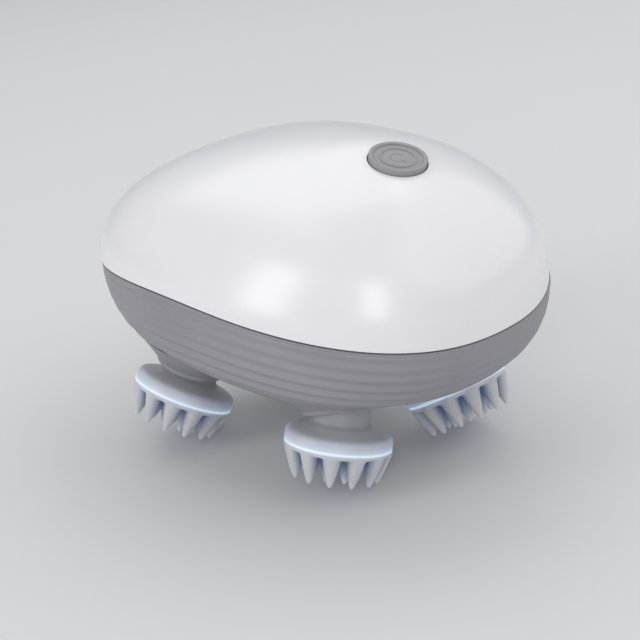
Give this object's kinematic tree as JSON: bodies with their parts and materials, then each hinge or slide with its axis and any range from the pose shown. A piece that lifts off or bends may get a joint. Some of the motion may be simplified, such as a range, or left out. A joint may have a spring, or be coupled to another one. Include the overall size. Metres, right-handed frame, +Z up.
{
  "type": "electric scalp massager",
  "caption": "Egg-shaped cordless scalp massager with a glossy dome, a ribbed grip hull and rocking silicone kneading heads on a geared drive.",
  "frame": {"origin": "centre of the footprint on the plane of the lowest tooth tip", "axes": "+X towards the blunt nose, -X towards the narrow tail, +Z up through the dome; the massage heads point down"},
  "size_m": [0.1373, 0.0992, 0.0921],
  "materials": {
    "shell_white": "high-gloss moulded ABS, white",
    "hull_grey": "satin moulded ABS, cool mid grey",
    "gasket_dark": "matt dark elastomer seam strip",
    "frame_grey": "glass-filled nylon, dark grey",
    "screw_steel": "zinc-plated steel",
    "button_grey": "soft satin grey cap",
    "seal_rubber": "soft silicone, dark grey",
    "switch_black": "black moulded housing",
    "board_green": "green solder mask on glass epoxy",
    "chip_black": "black component bodies",
    "battery_wrap": "blue shrink wrap",
    "pad_grey": "grey moulded contact carrier",
    "contact_brass": "gold-plated brass",
    "magnet_nickel": "nickel-plated magnet",
    "motor_steel": "drawn steel can",
    "shaft_steel": "ground stainless steel",
    "gear_nylon": "natural acetal",
    "bush_brass": "sintered bronze",
    "silicone_pale": "translucent pale silicone, soft satin",
    "core_clear": "clear polycarbonate light guide",
    "led_white": "white board with bluish-white light chips"
  },
  "bodies": {
    "housing": {"top_shell": "shell_white", "bottom_shell": "hull_grey", "shell_gasket": "gasket_dark", "chassis": "frame_grey", "chassis_screws": "screw_steel", "shell_screws": "screw_steel", "button_membrane": "seal_rubber", "tact_switch": "switch_black", "main_board": "board_green", "board_parts": "chip_black", "board_screws": "screw_steel", "battery_cell": "battery_wrap", "battery_cradle": "frame_grey", "charge_pad": "pad_grey", "charge_contacts": "contact_brass", "charge_magnets": "magnet_nickel", "gearhead_case": "motor_steel", "motor_can": "motor_steel", "motor_cap": "switch_black", "motor_bracket": "frame_grey", "bracket_screws": "screw_steel", "drive_axle": "shaft_steel", "spindle_bushes": "bush_brass", "neck_seals": "seal_rubber"},
    "button": {"power_button": "button_grey"},
    "motor_output": {"output_shaft": "shaft_steel", "motor_pinion": "gear_nylon"},
    "drive": {"drive_gear": "gear_nylon"},
    "spindle_rear_right": {"spindle_rear_right": "shaft_steel", "spindle_gear_rear_right": "gear_nylon", "pin_clip_rear_right": "screw_steel"},
    "head_rear_right": {"massage_head_rear_right": "silicone_pale", "head_core_rear_right": "core_clear", "pin_bush_rear_right": "bush_brass", "led_board_rear_right": "led_white"},
    "spindle_front_right": {"spindle_front_right": "shaft_steel", "spindle_gear_front_right": "gear_nylon", "pin_clip_front_right": "screw_steel"},
    "head_front_right": {"massage_head_front_right": "silicone_pale", "head_core_front_right": "core_clear", "pin_bush_front_right": "bush_brass", "led_board_front_right": "led_white"},
    "spindle_front_left": {"spindle_front_left": "shaft_steel", "spindle_gear_front_left": "gear_nylon", "pin_clip_front_left": "screw_steel"},
    "head_front_left": {"massage_head_front_left": "silicone_pale", "head_core_front_left": "core_clear", "pin_bush_front_left": "bush_brass", "led_board_front_left": "led_white"},
    "spindle_rear_left": {"spindle_rear_left": "shaft_steel", "spindle_gear_rear_left": "gear_nylon", "pin_clip_rear_left": "screw_steel"},
    "head_rear_left": {"massage_head_rear_left": "silicone_pale", "head_core_rear_left": "core_clear", "pin_bush_rear_left": "bush_brass", "led_board_rear_left": "led_white"}
  },
  "joints": [
    {"name": "button_press", "type": "slide", "parent": "housing", "child": "button", "axis": [-0.2796, 0, -0.9601], "range_m": [0, 0.0008], "stiffness_N_per_m": 900, "springref_m": -0.0006},
    {"name": "drive_spin", "type": "hinge", "parent": "housing", "child": "drive", "pos_m": [-0.00505, 0, 0.03571], "axis": [0, 0, 1], "continuous": true},
    {"name": "motor_spin", "type": "hinge", "parent": "housing", "child": "motor_output", "pos_m": [0.01655, 0, 0.04936], "axis": [0, 0, 1], "continuous": true},
    {"name": "spindle_spin_rear_right", "type": "hinge", "parent": "housing", "child": "spindle_rear_right", "pos_m": [-0.0313, -0.02607, 0.02186], "axis": [0.2427, 0.241, 0.9397], "continuous": true},
    {"name": "head_turn_rear_right", "type": "hinge", "parent": "spindle_rear_right", "child": "head_rear_right", "pos_m": [-0.0313, -0.02607, 0.02186], "axis": [0.1263, 0.483, 0.8665], "continuous": true},
    {"name": "spindle_spin_front_right", "type": "hinge", "parent": "housing", "child": "spindle_front_right", "pos_m": [0.02609, -0.01999, 0.02186], "axis": [-0.2878, 0.1848, 0.9397], "continuous": true},
    {"name": "head_turn_front_right", "type": "hinge", "parent": "spindle_front_right", "child": "head_front_right", "pos_m": [0.02609, -0.01999, 0.02186], "axis": [-0.0397, 0.3106, 0.9497], "continuous": true},
    {"name": "spindle_spin_front_left", "type": "hinge", "parent": "housing", "child": "spindle_front_left", "pos_m": [0.02609, 0.01999, 0.02186], "axis": [-0.2878, -0.1848, 0.9397], "continuous": true},
    {"name": "head_turn_front_left", "type": "hinge", "parent": "spindle_front_left", "child": "head_front_left", "pos_m": [0.02609, 0.01999, 0.02186], "axis": [-0.4898, -0.0057, 0.8718], "continuous": true},
    {"name": "spindle_spin_rear_left", "type": "hinge", "parent": "housing", "child": "spindle_rear_left", "pos_m": [-0.0313, 0.02607, 0.02186], "axis": [0.2427, -0.241, 0.9397], "continuous": true},
    {"name": "head_turn_rear_left", "type": "hinge", "parent": "spindle_rear_left", "child": "head_rear_left", "pos_m": [-0.0313, 0.02607, 0.02186], "axis": [0.4685, -0.09, 0.8789], "continuous": true}
  ],
  "couplings": [
    {"joint": "motor_spin", "follows": "drive_spin", "ratio": -2},
    {"joint": "spindle_spin_rear_right", "follows": "drive_spin", "ratio": -1.6667},
    {"joint": "head_turn_rear_right", "follows": "drive_spin", "ratio": 1.6667},
    {"joint": "spindle_spin_front_right", "follows": "drive_spin", "ratio": -1.6667},
    {"joint": "head_turn_front_right", "follows": "drive_spin", "ratio": 1.6667},
    {"joint": "spindle_spin_front_left", "follows": "drive_spin", "ratio": -1.6667},
    {"joint": "head_turn_front_left", "follows": "drive_spin", "ratio": 1.6667},
    {"joint": "spindle_spin_rear_left", "follows": "drive_spin", "ratio": -1.6667},
    {"joint": "head_turn_rear_left", "follows": "drive_spin", "ratio": 1.6667}
  ]
}
